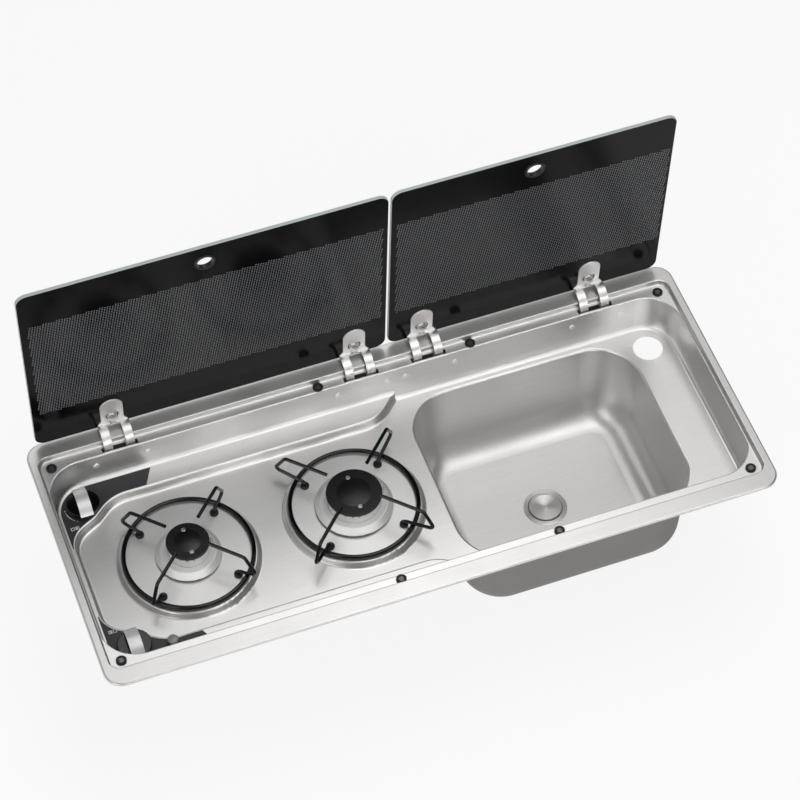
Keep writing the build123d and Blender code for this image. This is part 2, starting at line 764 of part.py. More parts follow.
def make_grommets():
    """The rubber grommets that the pan supports stand in."""
    under = plateau_z - sheet
    profile = [
        (arm_wire_r + 0.1, under - 2.2),
        (grommet_neck_r + 0.5, under - 2.2),
        (grommet_neck_r + 0.9, under - 0.02),
        (grommet_neck_r, under - 0.02),
        (grommet_neck_r, plateau_z + 0.02),
        (grommet_r, plateau_z + 0.02),
        (grommet_r, plateau_z + grommet_height - 1),
        (grommet_r - 1, plateau_z + grommet_height),
        (arm_wire_r + 0.1, plateau_z + grommet_height),
    ]
    grommet = turned(profile)
    keep("pan_grommets", Compound([Pos(x, y, 0) * grommet for x, y in grommet_points()]))


def lead(points, radii, r, r_in=0.0):
    """A round wire or pipe along straight runs joined by tangent arcs."""
    path = FilletPolyline(*points, radius=radii)
    start = Vector(*points[0])
    section = Plane(origin=start, z_dir=Vector(*points[1]) - start) * Circle(r)
    if r_in:
        section = section - Plane(origin=start, z_dir=Vector(*points[1]) - start) * Circle(r_in)
    solid = sweep(section, path)
    share = solid.volume / (path.length * section.area)
    print("run of", round(path.length, 1), "mm, radii", radii, "volume share", round(share, 4))
    return solid


def along_x(x_low, x_high, y, z, r):
    """A cylinder along X."""
    return Pos((x_low + x_high) / 2, y, z) * Rot(0, 90, 0) * Cylinder(r, x_high - x_low)


def along_y(y_low, y_high, x, z, r):
    """A cylinder along Y."""
    return Pos(x, (y_low + y_high) / 2, z) * Rot(90, 0, 0) * Cylinder(r, y_high - y_low)


def pipe_nut(place):
    """A hexagonal pipe nut whose Z is the pipe's axis, standing on the place."""
    nut = extrude(RegularPolygon(pipe_nut_r, 6), amount=pipe_nut_length)
    return place * (nut - Cylinder(pipe_r + running, 4 * pipe_nut_length))


def make_gas():
    """The two taps with their rail and inlet, the feed pipes, their nuts and the injectors."""
    under = shelf_z - sheet
    rail_x = knob_x - tap_r - 2
    boss_end = knob_x + tap_r + 6
    nuts = []
    for row, way in knob_rows.items():
        y = way * knob_y
        tap = rod(knob_x, y, tap_r, tap_bottom_z, under) + rod(knob_x, y, tap_flange_r, under - 2, under)
        tap = tap + Pos(knob_x - tap_r, y, rail_z) * Box(2 * tap_r - 1, 16, 16)
        tap = tap + along_x(knob_x + tap_r - 2, boss_end, y, pipe_z, 5.5)
        tap = tap - rod(knob_x, y, stem_r + running, stem_low_z - knob_push - 2, under + 1)
        tap = tap - rod(knob_x, y, rod_r + 0.2, rod_low_z - knob_push - 2, stem_low_z)
        tap = tap - along_y(y - 20, y + 20, rail_x, rail_z, rail_r + 0.02)
        tap = tap - along_x(boss_end - 3, boss_end + 1, y, pipe_z, pipe_r + 0.02)
        keep("tap_body_" + row, tap)
        nuts.append(pipe_nut(Pos(boss_end, y, pipe_z) * Rot(0, 90, 0)))
    rail_end = knob_y + 14
    rail = along_y(-knob_y - 9, rail_end, rail_x, rail_z, rail_r)
    rail = rail - along_y(-knob_y - 6, rail_end - 5, rail_x, rail_z, rail_r - 1.5)
    inlet = along_y(rail_end - 4, inlet_end, rail_x, rail_z, inlet_r)
    rail = rail + inlet - along_y(knob_y, inlet_end + 1, rail_x, rail_z, inlet_r - 1)
    keep("gas_rail", rail)

    injectors = []
    for side in sides:
        place = Pos(burner_x[side], burner_y, mixer_z) * Rot(0, 0, mixer_angle[side])
        place = place * Pos(mixer_end[side], 0, 0) * Rot(0, 90, 0)
        body = extrude(RegularPolygon(mixer_r, 6), amount=injector_length)
        body = body + Pos(0, 0, -4) * Cylinder(mixer_r - 2 - 0.02, 8)
        body = body + Pos(0, 0, -11) * Cone(1.2, 3.2, 6)
        body = body - Pos(0, 0, injector_length / 2 - 4) * Cylinder(2, injector_length + 8)
        body = body - Cylinder(0.4, 60)
        body = body - Pos(0, 0, injector_length) * Cylinder(pipe_r + 0.02, 6)
        injectors.append(place * body)
        nuts.append(pipe_nut(place * Pos(0, 0, injector_length)))
    keep("injectors", Compound(injectors))
    keep("pipe_nuts", Compound(nuts))

    pipe_start = boss_end - 2.9
    into = injector_length - 2.9
    left_y = burner_y - mixer_end["left"] - into
    left = [
        (pipe_start, -knob_y, pipe_z),
        (burner_x["left"], -knob_y, pipe_z),
        (burner_x["left"], left_y, pipe_z),
    ]
    keep("feed_pipe_left", lead(left, [30], pipe_r, pipe_r - 0.8))
    right_x = burner_x["right"] - mixer_end["right"] - into
    beside = burner_x["left"]
    right = [
        (pipe_start, knob_y, pipe_z),
        (beside - 19, knob_y, pipe_z),
        (beside + 35, knob_y - 8, pipe_z - 4),
        (beside + 67, knob_y - 52, pipe_z - 4),
        (beside + 95, burner_y, pipe_z),
        (right_x, burner_y, pipe_z),
    ]
    keep("feed_pipe_right", lead(right, [40, 40, 40, 30], pipe_r, pipe_r - 0.8))


def between(x_from, x_to, y_from, y_to, share, aside, z):
    """A point at a share of the way between two places, moved aside along Y, at a height."""
    return x_from + share * (x_to - x_from), y_from + share * (y_to - y_from) + aside, z


def make_sensing():
    """The thermocouples with their leads to the taps, and the ignition electrodes."""
    tap_end = tap_bottom_z - 0.05
    right_x = burner_x["right"] + probe_r["right"]
    left_x = burner_x["left"] + probe_r["left"]
    slack = ((0.15, 4, -90), (0.32, 4, -88), (0.49, 3, -91), (0.67, 6, -88), (0.84, 3, -92))
    routes = {
        "right": [
            (right_x, burner_y, -69),
            (right_x, burner_y, -88),
            *[between(right_x, knob_x, burner_y, knob_y, *way) for way in slack],
            (knob_x, knob_y, -98),
            (knob_x, knob_y, tap_end),
        ],
        "left": [
            (left_x, burner_y, -69),
            (left_x, burner_y, -94),
            between(left_x, knob_x, burner_y, -knob_y, 0.22, -24, -96),
            between(left_x, knob_x, burner_y, -knob_y, 0.62, -18, -96),
            (knob_x, -knob_y, -102),
            (knob_x, -knob_y, tap_end),
        ],
    }
    bends = {"right": [12, 60, 60, 60, 60, 60, 10], "left": [12, 40, 40, 10]}
    probes = []
    for side in sides:
        x = routes[side][0][0]
        probe = rod(x, burner_y, probe_thick, -70, probe_top_z)
        probe = fillet(level(probe, probe_top_z), probe_thick - 0.3)
        probe = probe + rod(x, burner_y, 3.2, plateau_z - sheet - 5, plateau_z - sheet - 3)
        nut_x, nut_y, nut_z = routes[side][-1]
        nut = Pos(nut_x, nut_y, nut_z - 6) * extrude(RegularPolygon(3.6, 6), amount=6)
        probes.append(probe + lead(routes[side], bends[side], 1.0) + nut)
    keep("thermocouples", Compound(probes))
    electrodes = []
    for side in sides:
        x = burner_x[side]
        y = burner_y + electrode_r[side]
        ceramic = rod(x, y, ceramic_r, ceramic_low_z, electrode_top_z)
        ceramic = fillet(level(ceramic, electrode_top_z), 1.0)
        ceramic = ceramic + rod(x, y, ceramic_r + 1.2, plateau_z - sheet - 5, plateau_z - sheet - 3)
        electrodes.append(ceramic + rod(x, y, 0.8, electrode_top_z - 1, electrode_top_z + 2.5))
    keep("electrodes", Compound(electrodes))


def make_ignition():
    """The button in its switch with its spring, the spark generator and the leads."""
    top = bezel_top_z
    switch = rod(button_x, button_y, switch_r, switch_low_z, top)
    switch = switch + rod(button_x, button_y, bezel_r, shelf_z + plate_thick, top)
    switch = fillet(level(switch, top), 0.6)
    switch = switch - rod(button_x, button_y, button_r + running + 0.05, switch_low_z + 2, top + 1)
    keep("ignition_switch", switch)
    cap_low = spring_low_z + spring_length
    head_low = top + button_push + 0.3
    rim = button_head_r - 1.4
    profile = [
        (0, cap_low),
        (button_r, cap_low),
        (button_r, head_low),
        (button_head_r, head_low),
        (button_head_r, button_top - 0.7),
        (button_head_r - 0.7, button_top),
        (rim, button_top),
        (rim - 0.7, button_top - 0.5),
        (1.8, button_top - 0.2),
        (0, button_top),
    ]
    keep("ignition_button", Pos(button_x, button_y, 0) * turned(profile))
    turns = 5
    pitch = (spring_length - 2 * spring_wire) / turns
    path = Pos(button_x, button_y, spring_low_z + spring_wire) * Helix(pitch, pitch * turns, spring_coil_r)
    section = Plane(origin=path @ 0, z_dir=path % 0) * Circle(spring_wire)
    keep("button_spring", sweep(section, path, is_frenet=True))
    under = shelf_z - sheet
    exit_z = -58
    x_high = generator_x + generator_length / 2
    box = Pos(generator_x, generator_y, under - generator_high / 2)
    box = box * Box(generator_length, generator_wide, generator_high)
    box = fillet(box.edges().filter_by(Axis.Z), 3)
    left_exit = generator_x - 12
    box = box + along_x(x_high - 1, x_high + 6, generator_y, exit_z, 3)
    box = box + rod(left_exit, generator_y, 3, under - generator_high - 6, under - generator_high + 1)
    keep("spark_generator", box)
    right_y = burner_y + electrode_r["right"]
    left_y = burner_y + electrode_r["left"]
    low = ceramic_low_z
    right_x = burner_x["right"]
    right = [
        (right_x, right_y, low),
        (right_x, right_y, -80),
        (right_x - 35, 4, -82),
        (right_x - 67, -36, -80),
        (right_x - 95, -78, -78),
        (x_high + 32, generator_y, exit_z),
        (x_high + 6, generator_y, exit_z),
    ]
    left_x = burner_x["left"]
    left = [
        (left_x, left_y, low),
        (left_x, left_y, -82),
        (left_x - 39, 2, -84),
        (left_x - 45, -52, -84),
        (left_exit, generator_y, -94),
        (left_exit, generator_y, under - generator_high - 6),
    ]
    switch_lead = [
        (button_x, button_y, switch_low_z),
        (button_x, button_y, -76),
        (left_exit - 6, generator_y, -76),
        (left_exit - 6, generator_y, under - generator_high),
    ]
    leads = [
        lead(right, [15, 30, 40, 30, 20], 1.5),
        lead(left, [15, 30, 30, 15], 1.5),
        lead(switch_lead, [6, 6], 1.0),
    ]
    keep("ignition_leads", Compound(leads))


def make_knob(row):
    """One knob with its curved handle, its tap stem and the thrust rod under it."""
    y = knob_rows[row] * knob_y
    at = Pos(knob_x, y, 0)
    disc = rod(0, 0, knob_r, knob_low, knob_disc_top)
    disc = fillet(level(disc, knob_disc_top), 1.0)
    half = handle_length / 2
    rise = knob_top - knob_disc_top
    outer = arch(half, rise, handle_width)
    inner = arch(half - handle_shell * 1.3, rise - handle_shell, handle_width)
    core = arch(half - handle_shell * 1.3 - 0.02, rise - handle_shell - 0.02, handle_width - 2)
    disc = disc + Pos(0, 0, knob_disc_top) * core
    disc = disc - rod(0, 0, stem_r + 0.02, knob_low - 1, stem_top_z + 0.02)
    keep("knob_disc_" + row, at * disc)
    keep("knob_handle_" + row, at * Pos(0, 0, knob_disc_top + 0.02) * (outer - inner))
    stem = rod(0, 0, stem_r, stem_low_z, stem_top_z)
    stem = stem - rod(0, 0, rod_r + running, stem_low_z - 1, rod_top_z + 1)
    keep("tap_stem_" + row, at * stem)
    keep("tap_rod_" + row, at * rod(0, 0, rod_r, rod_low_z, rod_top_z))


def arch(half, rise, width):
    """A low arch along Y on the X-Y plane."""
    bow = ThreePointArc((-half, 0), (0, rise), (half, 0))
    face = make_face([bow, Line((half, 0), (-half, 0))])
    return Rot(0, 0, 90) * Rot(90, 0, 0) * extrude(face, amount=width / 2, both=True)


def make_plates():
    """The printed plates on the shelf round the knobs."""
    drop = (ledge_z - shelf_z) * tan(radians(wall_draft))
    inset = drop + foot_round + 0.3
    flat = RectangleRounded(recess_length - 2 * inset, recess_width - 2 * inset, recess_corner - inset)
    flat = flat - hob_outline(deck_edge_round + 0.3)
    near_y = hob_left_half - 14.8
    far_y = recess_width
    slant = [(plate_end_x, recess_width / 2 - 7.1), (plate_end_x - 11, burner_bay_half + 2.9)]
    corners = [(-rim_length, near_y), (-rim_length, far_y), (plate_end_x + 60, far_y)]
    corners += [*slant, (slant[1][0], near_y)]
    for row, way in knob_rows.items():
        window = make_face(Polyline(*[(x, way * y) for x, y in corners], close=True))
        area = flat & window
        area = sorted(area.faces(), key=lambda f: f.area)[-1]
        plate = extrude(Pos(0, 0, shelf_z) * area, amount=plate_thick, dir=(0, 0, 1))
        plate = plate - rod(knob_x, way * knob_y, stem_r + 1, shelf_z - 1, shelf_z + 2)
        if row == "front":
            plate = plate - rod(button_x, button_y, switch_r + 0.2, shelf_z - 1, shelf_z + 2)
        keep("control_plate_" + row, plate)


def make_waste():
    """The bowl's waste: flange with its tube, dished strainer, screw, seal and body with the outlet."""
    floor_z = bowl_floor_z
    inner_r = waste_tube_r - 2
    face_z = floor_z + 1.0
    groove_r = (waste_r + inner_r) / 2
    profile = [
        (waste_r, floor_z + 0.02),
        (waste_r - 0.3, floor_z + 0.7),
        (waste_r - 1, face_z),
        (groove_r + 0.3, face_z),
        (groove_r, face_z - 0.3),
        (groove_r - 0.3, face_z),
        (inner_r + 0.6, face_z),
        (inner_r, face_z - 0.6),
        (inner_r, floor_z - waste_tube_length),
        (waste_tube_r, floor_z - waste_tube_length),
        (waste_tube_r, floor_z + 0.02),
    ]
    at = Pos(drain_x, 0, 0)
    keep("waste_flange", at * turned(profile))
    bottom = floor_z - waste_tube_length - 4
    rim_z = floor_z + 2.6
    dish_z = floor_z + 0.4
    edge_r = inner_r - strainer_gap
    profile = [
        (screw_r + 0.1, bottom),
        (strainer_hub_r, bottom),
        (strainer_hub_r, dish_z - 1.2),
        (edge_r - 1, rim_z - 2.2),
        (edge_r - 1, floor_z - 1.5),
        (edge_r, floor_z - 1.5),
        (edge_r, rim_z - 0.5),
        (edge_r - 0.5, rim_z),
        (edge_r - 1.3, rim_z),
        (edge_r - 2.2, rim_z - 1),
        (strainer_hub_r + 1, dish_z),
        (screw_r + 0.1, dish_z),
    ]
    keep("waste_strainer", at * turned(profile))
    top = dish_z + 1.6
    head = fillet(level(rod(0, 0, head_r, dish_z, top), top), 0.7)
    head = head - Pos(0, 0, top) * Box(2 * head_r - 1, 0.9, 1.4)
    keep("waste_screw", at * (head + rod(0, 0, screw_r, bottom - 4, dish_z)))
    under = floor_z - sheet
    keep("waste_seal", at * tube(0, 0, waste_body_r + 4, waste_tube_r + running, under - 2.5, under))
    rim = under - 2.5
    body = rod(0, 0, waste_body_r + 4, rim - 3, rim) + rod(0, 0, waste_body_r, waste_body_z, rim)
    spigot_z = waste_body_z + spigot_r + 3
    body = body + along_x(-waste_body_r - spigot_length, 0, 0, spigot_z, spigot_r)
    body = body + along_x(-waste_body_r - 3, 0, 0, spigot_z, spigot_r + 1.5)
    body = body - rod(0, 0, waste_tube_r + running, floor_z - waste_tube_length - 0.1, rim + 1)
    body = body - rod(0, 0, waste_body_r - 5, waste_body_z + 3, bottom + 5)
    body = body - along_x(-waste_body_r - spigot_length - 1, 0, 0, spigot_z, spigot_r - 2)
    bridge = Pos(0, 0, bottom - 2) * Box(2 * waste_body_r - 4, 6, 4)
    bridge = bridge + rod(0, 0, 4.5, bottom - 4, bottom)
    body = body + (bridge - rod(0, 0, screw_r + 0.02, bottom - 6, bottom + 1))
    keep("waste_body", at * body)


keep("pressed_top", make_top())
make_rim_parts()
for side in sides:
    make_lid(side)
make_hinge_fixed()
for side in sides:
    make_burner(side)
    make_support(side)
make_grommets()
make_gas()
make_sensing()
make_ignition()
for row in knob_rows:
    make_knob(row)
make_plates()
make_waste()
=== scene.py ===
import math
import bpy
import numpy as np
from mathutils import Matrix, Vector


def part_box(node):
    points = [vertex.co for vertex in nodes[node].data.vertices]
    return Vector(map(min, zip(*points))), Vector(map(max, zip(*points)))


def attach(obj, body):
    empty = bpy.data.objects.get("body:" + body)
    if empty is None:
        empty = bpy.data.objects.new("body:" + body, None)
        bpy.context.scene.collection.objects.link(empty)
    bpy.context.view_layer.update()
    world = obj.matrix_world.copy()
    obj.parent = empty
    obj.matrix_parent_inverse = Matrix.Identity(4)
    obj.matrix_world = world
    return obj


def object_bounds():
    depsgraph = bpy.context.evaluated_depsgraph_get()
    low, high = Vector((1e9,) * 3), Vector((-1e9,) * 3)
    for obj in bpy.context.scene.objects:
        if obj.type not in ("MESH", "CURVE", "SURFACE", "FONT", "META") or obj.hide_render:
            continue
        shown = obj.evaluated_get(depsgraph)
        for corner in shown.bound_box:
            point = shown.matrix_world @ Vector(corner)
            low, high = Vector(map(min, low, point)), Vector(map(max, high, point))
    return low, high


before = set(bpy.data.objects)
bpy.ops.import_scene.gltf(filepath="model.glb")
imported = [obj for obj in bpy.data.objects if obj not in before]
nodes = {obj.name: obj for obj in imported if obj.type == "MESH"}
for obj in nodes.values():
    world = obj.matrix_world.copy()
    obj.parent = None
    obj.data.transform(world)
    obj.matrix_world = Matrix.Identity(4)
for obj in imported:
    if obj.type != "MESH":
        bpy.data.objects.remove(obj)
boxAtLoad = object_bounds()
sides = ("left", "right")
rows = ("rear", "front")
print("frame loaded:", len(nodes), "nodes")


# small tools that every finish and piece uses

# sRGB hex to linear red, green, blue and alpha: c / 12.92 for dark parts, ((c + 0.055) / 1.055) ^ 2.4 above
def toLinear(hexColour):
    parts = np.array([int(hexColour[i:i + 2], 16) for i in (1, 3, 5)]) / 255
    linear = np.where(parts <= 0.04045, parts / 12.92, ((parts + 0.055) / 1.055) ** 2.4)
    return (*linear.tolist(), 1.0)


# one node with its settings and incoming links
def addNode(tree, kind, links=None, **settings):
    node = tree.nodes.new("ShaderNode" + kind)
    for name, value in settings.items():
        if hasattr(node, name):
            setattr(node, name, value)
        else:
            node.inputs[name.replace("_", " ")].default_value = value
    for name, source in (links or {}).items():
        tree.links.new(source, node.inputs[name])
    return node


# a Principled material with its plain values on the shader's own sockets
def newFinish(name, colour, metallic=0.0, roughness=0.5, **extra):
    material = bpy.data.materials.new(name)
    material.use_nodes = True
    tree = material.node_tree
    shader = tree.nodes["Principled BSDF"]
    shader.inputs["Base Color"].default_value = toLinear(colour)
    shader.inputs["Metallic"].default_value = metallic
    shader.inputs["Roughness"].default_value = roughness
    for key, value in extra.items():
        shader.inputs[key.replace("_", " ")].default_value = value
    return material, tree, shader


# noise with grains of size mm, drawn out to length mm along X: scale = 1000 / mm on each axis
def stretchedNoise(tree, size, length=None, detail=3.0):
    place = addNode(tree, "TexCoord")
    scale = (1000 / (length or size), 1000 / size, 1000 / size)
    turned = addNode(tree, "Mapping", {"Vector": place.outputs["Object"]}, Scale=scale)
    return addNode(tree, "TexNoise", {"Vector": turned.outputs["Vector"]}, Scale=1.0, Detail=detail)


# carries fromLow..fromHigh, the middle range of a noise, evenly to low..high
def spread(tree, source, low, high, fromLow=0.3, fromHigh=0.7):
    ends = {"From_Min": fromLow, "From_Max": fromHigh, "To_Min": low, "To_Max": high}
    return addNode(tree, "MapRange", {"Value": source}, **ends)


# bump of a given depth from a noise
def roughen(tree, shader, noise, strength, millimetres):
    height = {"Height": noise.outputs["Fac"]}
    bump = addNode(tree, "Bump", height, Strength=strength, Distance=millimetres / 1000)
    tree.links.new(bump.outputs["Normal"], shader.inputs["Normal"])


# one Math node of two values or sockets
def reckon(tree, operation, first, second=0.0):
    node = addNode(tree, "Math", operation=operation)
    for place, value in enumerate((first, second)):
        if isinstance(value, (int, float)):
            node.inputs[place].default_value = value
        else:
            tree.links.new(value, node.inputs[place])
    return node.outputs[0]


# the base colour runs between two hex colours with a factor
def varyColour(tree, shader, factor, darker, lighter):
    mix = addNode(tree, "Mix", data_type="RGBA")
    mix.inputs[6].default_value = toLinear(darker)
    mix.inputs[7].default_value = toLinear(lighter)
    tree.links.new(factor, mix.inputs[0])
    tree.links.new(mix.outputs[2], shader.inputs["Base Color"])
    return mix


# camera at the photograph's place, in metres, with its lens in mm

view = {
    "place": (-0.65740, -1.78686, 2.69782),
    "right": (0.93922, -0.34331, 0.00098),
    "up": (0.27554, 0.75552, 0.59436),
    "back": (-0.2048, -0.55797, 0.8042),
    "lens": 136.849,
    "sensor": 36,
    "farClip": 30,
}
cameraData = bpy.data.cameras.new("camera")
cameraData.lens = view["lens"]
cameraData.sensor_width = view["sensor"]
cameraData.clip_end = view["farClip"]
camera = bpy.data.objects.new("camera", cameraData)
turn = Matrix((view["right"], view["up"], view["back"])).transposed().to_4x4()
camera.matrix_world = Matrix.Translation(view["place"]) @ turn
bpy.context.scene.collection.objects.link(camera)
bpy.context.scene.camera = camera
bpy.context.scene.view_settings.view_transform = "Standard"


# studio: pale floor, even sky and soft lamps, in metres and watts

studio = {
    "floorDrop": 0.0015,
    "floorSize": 14.0,
    "floorColour": "#f4f4f3",
    "floorRoughness": 0.9,
    "floorWhite": 0.86,  # how much of the floor the camera sees as even white
    "skyLeft": 0.55,  # the sky is darker on the right, as the photograph's right walls are
    "skyRight": 0.1,
    "lamps": {  # place, what it faces, size, watts
        "overhead": ((0.55, -0.2, 2.2), (0.55, -0.2, 0.0), (1.5, 1.5), 15),
        "behind": ((0.3, 1.35, 2.1), (0.0, 0.8, 0.0), (1.5, 1.2), 8.5),
        "frontStrip": ((0.4, -2.3, 1.05), (0.0, 0.0, -0.05), (2.6, 0.25), 16),
        "frontLeft": ((-2.0, -1.5, 1.2), (0.0, 0.0, 0.0), (1.2, 1.2), 14),
    },
}


# one large square just under the lowest point, seen as even white by the camera with the object's shadow kept
def layFloor():
    low = boxAtLoad[0][2] - studio["floorDrop"]
    half = studio["floorSize"] / 2
    corners = np.array([(-half, -half, low), (half, -half, low), (half, half, low), (-half, half, low)])
    mesh = bpy.data.meshes.new("floor")
    mesh.from_pydata(corners.tolist(), [], [(0, 1, 2, 3)])
    floor = bpy.data.objects.new("floor", mesh)
    bpy.context.scene.collection.objects.link(floor)
    colour = studio["floorColour"]
    material, tree, shader = newFinish("matt studio floor", colour, roughness=studio["floorRoughness"])
    path = addNode(tree, "LightPath").outputs
    seen = reckon(tree, "MAXIMUM", path["Is Camera Ray"], path["Is Glossy Ray"])
    through = reckon(tree, "MAXIMUM", seen, path["Is Transmission Ray"])
    share = reckon(tree, "MULTIPLY", through, studio["floorWhite"])
    white = addNode(tree, "Emission", Strength=1.0)
    mix = addNode(tree, "MixShader", {0: share, 1: shader.outputs[0], 2: white.outputs[0]})
    output = tree.nodes["Material Output"]
    tree.links.new(mix.outputs[0], output.inputs["Surface"])
    mesh.materials.append(material)


# the sky's strength runs evenly from skyLeft to skyRight as the direction's X runs from -1 to 1
def hangSky():
    world = bpy.data.worlds.new("studio")
    bpy.context.scene.world = world
    world.use_nodes = True
    tree = world.node_tree
    place = addNode(tree, "TexCoord")
    parts = addNode(tree, "SeparateXYZ", {0: place.outputs["Generated"]})
    level = addNode(tree, "MapRange", {"Value": parts.outputs["X"]}, From_Min=-1.0, From_Max=1.0)
    level.inputs["To Min"].default_value = studio["skyLeft"]
    level.inputs["To Max"].default_value = studio["skyRight"]
    tree.links.new(level.outputs[0], tree.nodes["Background"].inputs["Strength"])
    tree.nodes["Background"].inputs["Color"].default_value = (1, 1, 1, 1)


# each lamp is a rectangle that faces a given point
def hangLamps():
    for name, (place, aim, size, watts) in studio["lamps"].items():
        data = bpy.data.lights.new(name, "AREA")
        data.shape = "RECTANGLE"
        data.size, data.size_y = size
        data.energy = watts
        lamp = bpy.data.objects.new(name, data)
        lamp.location = place
        lamp.rotation_euler = (Vector(aim) - Vector(place)).to_track_quat("-Z", "Y").to_euler()
        bpy.context.scene.collection.objects.link(lamp)


layFloor()
hangSky()
hangLamps()
print("studio ready")


# finishes

steel = {
    "rimZ": -0.002,  # above this height the rim is painted darker and below it the recess lighter, painted light that evens out the shade in the recess
    # painted light: the rim's colours are darker and the recess's lighter, to even out the shade in the
    # recess
    "rim": ("#cfcecd", "#dad9d8"),
    "recessPaintedLighter": ("#dedddc", "#e8e7e6"),
    "trayRoughness": 0.38,
    "brushed": 0.7,
    "bowlRoughness": 0.42,
    "bowlZ": (-0.1, -0.055),  # the sheet gets duller between these heights, where it is drawn deep
    # a darker colour painted on faces that point down, as painted shade underneath, with a duller roughness
    # there
    "under": ("#8d8b89", 0.55),
    "brushLine": (0.7, 60.0),  # real brush lines are 0.1 mm wide, drawn at 0.7 mm to show
    "grain": 0.8,
    "smudge": 70.0,
    "smudgeSwing": 0.03,
}


# deep-drawn stainless steel brushed along X, painted lighter in the recess and darker on the rim as painted
# light that evens out the recess's shade, and painted darker with a duller roughness on faces that point
# down, as painted shade underneath
# its brush lines draw the sheen out across X, and broad smudges keep the large faces from looking even
def drawnStainless():
    material, tree, shader = newFinish("drawn satin stainless steel", "#d0cfcd", 1.0, 0.4)
    streaks = stretchedNoise(tree, *steel["brushLine"])
    grain = stretchedNoise(tree, steel["grain"], detail=2.0)
    both = reckon(tree, "ADD", streaks.outputs["Fac"], grain.outputs["Fac"])
    shade = spread(tree, both, 0.0, 1.0, 0.7, 1.3)
    place = addNode(tree, "TexCoord")
    where = addNode(tree, "SeparateXYZ", {0: place.outputs["Object"]})
    facing = addNode(tree, "SeparateXYZ", {0: place.outputs["Normal"]})
    onRim = spread(tree, where.outputs["Z"], 0.0, 1.0, steel["rimZ"] - 0.001, steel["rimZ"] + 0.001)
    under = spread(tree, facing.outputs["Z"], 1.0, 0.0, -0.045, -0.02)
    # painted light: the recess gets lighter colours and the rim darker ones
    colours = []
    for key in ("recessPaintedLighter", "rim"):
        mix = addNode(tree, "Mix", {0: shade.outputs[0]}, data_type="RGBA")
        mix.inputs[6].default_value = toLinear(steel[key][0])
        mix.inputs[7].default_value = toLinear(steel[key][1])
        colours.append(mix)
    between = {0: onRim.outputs[0], 6: colours[0].outputs[2], 7: colours[1].outputs[2]}
    upper = addNode(tree, "Mix", between, data_type="RGBA")
    # painted shade: faces that point down get the darker colour
    withPaintedShadeUnder = addNode(tree, "Mix", {0: under.outputs[0], 6: upper.outputs[2]}, data_type="RGBA")
    withPaintedShadeUnder.inputs[7].default_value = toLinear(steel["under"][0])
    tree.links.new(withPaintedShadeUnder.outputs[2], shader.inputs["Base Color"])
    smudges = stretchedNoise(tree, steel["smudge"], detail=2.0)
    drift = spread(tree, smudges.outputs["Fac"], -steel["smudgeSwing"], steel["smudgeSwing"])
    rough = spread(tree, where.outputs["Z"], steel["bowlRoughness"], steel["trayRoughness"], *steel["bowlZ"])
    dull = addNode(tree, "Mix", {0: under.outputs[0], 2: rough.outputs[0]}, data_type="FLOAT")
    dull.inputs[3].default_value = steel["under"][1]
    tree.links.new(reckon(tree, "ADD", dull.outputs[0], drift.outputs[0]), shader.inputs["Roughness"])
    roughen(tree, shader, streaks, 0.05, 0.02)
    across = addNode(tree, "VectorMath", {1: place.outputs["Normal"]}, operation="CROSS_PRODUCT")
    across.inputs[0].default_value = (1, 0, 0)
    tree.links.new(across.outputs[0], shader.inputs["Tangent"])
    shader.inputs["Anisotropic"].default_value = steel["brushed"]
    return material


# small stamped steel parts: satin with a fine grain drawn out along X, so that flat faces glint unevenly
def stampedSteel(name, colour, roughness):
    material, tree, shader = newFinish(name, colour, 1.0, roughness)
    grain = stretchedNoise(tree, 0.8, 6.0)
    rough = spread(tree, grain.outputs["Fac"], roughness - 0.06, roughness + 0.08)
    tree.links.new(rough.outputs[0], shader.inputs["Roughness"])
    roughen(tree, shader, grain, 0.1, 0.03)
    return material


# lathe-turned steel: its grooves run round the node's middle, so the sheen fans out from there
# the shader's tangent is the place less the middle of the node's box
def turnedStainless(node):
    colour = "#e9e8e7"
    material, tree, shader = newFinish("turned stainless steel", colour, 1.0, 0.4, Anisotropic=0.6)
    low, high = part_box(node)
    place = addNode(tree, "TexCoord")
    outwards = addNode(tree, "VectorMath", {0: place.outputs["Object"]}, operation="SUBTRACT")
    outwards.inputs[1].default_value = ((low[0] + high[0]) / 2, (low[1] + high[1]) / 2, 0.0)
    tree.links.new(outwards.outputs[0], shader.inputs["Tangent"])
    grain = stretchedNoise(tree, 1.2)
    rough = spread(tree, grain.outputs["Fac"], 0.34, 0.48)
    tree.links.new(rough.outputs[0], shader.inputs["Roughness"])
    return material


# an even finish with a fine grain: its size and depth in mm, its colour from darker to colour
# and its roughness within swing of the middle value
def grained(name, colour, darker, metallic, roughness, size, depth, swing=0.07, **extra):
    material, tree, shader = newFinish(name, colour, metallic, roughness, **extra)
    grain = stretchedNoise(tree, size)
    rough = spread(tree, grain.outputs["Fac"], roughness - swing, roughness + swing)
    tree.links.new(rough.outputs[0], shader.inputs["Roughness"])
    shade = spread(tree, grain.outputs["Fac"], 0.0, 1.0)
    varyColour(tree, shader, shade.outputs[0], darker, colour)
    roughen(tree, shader, grain, 0.25, depth)
    return material


# one metal below a height in metres and another above it, both drawn wire with a faint grain
def twoMetals(name, lower, upper, height):
    material, tree, shader = newFinish(name, lower, 1.0, 0.3)
    place = addNode(tree, "TexCoord")
    where = addNode(tree, "SeparateXYZ", {0: place.outputs["Object"]})
    above = reckon(tree, "GREATER_THAN", where.outputs["Z"], height)
    varyColour(tree, shader, above, lower, upper)
    grain = stretchedNoise(tree, 0.8)
    rough = spread(tree, grain.outputs["Fac"], 0.24, 0.38)
    tree.links.new(rough.outputs[0], shader.inputs["Roughness"])
    return material


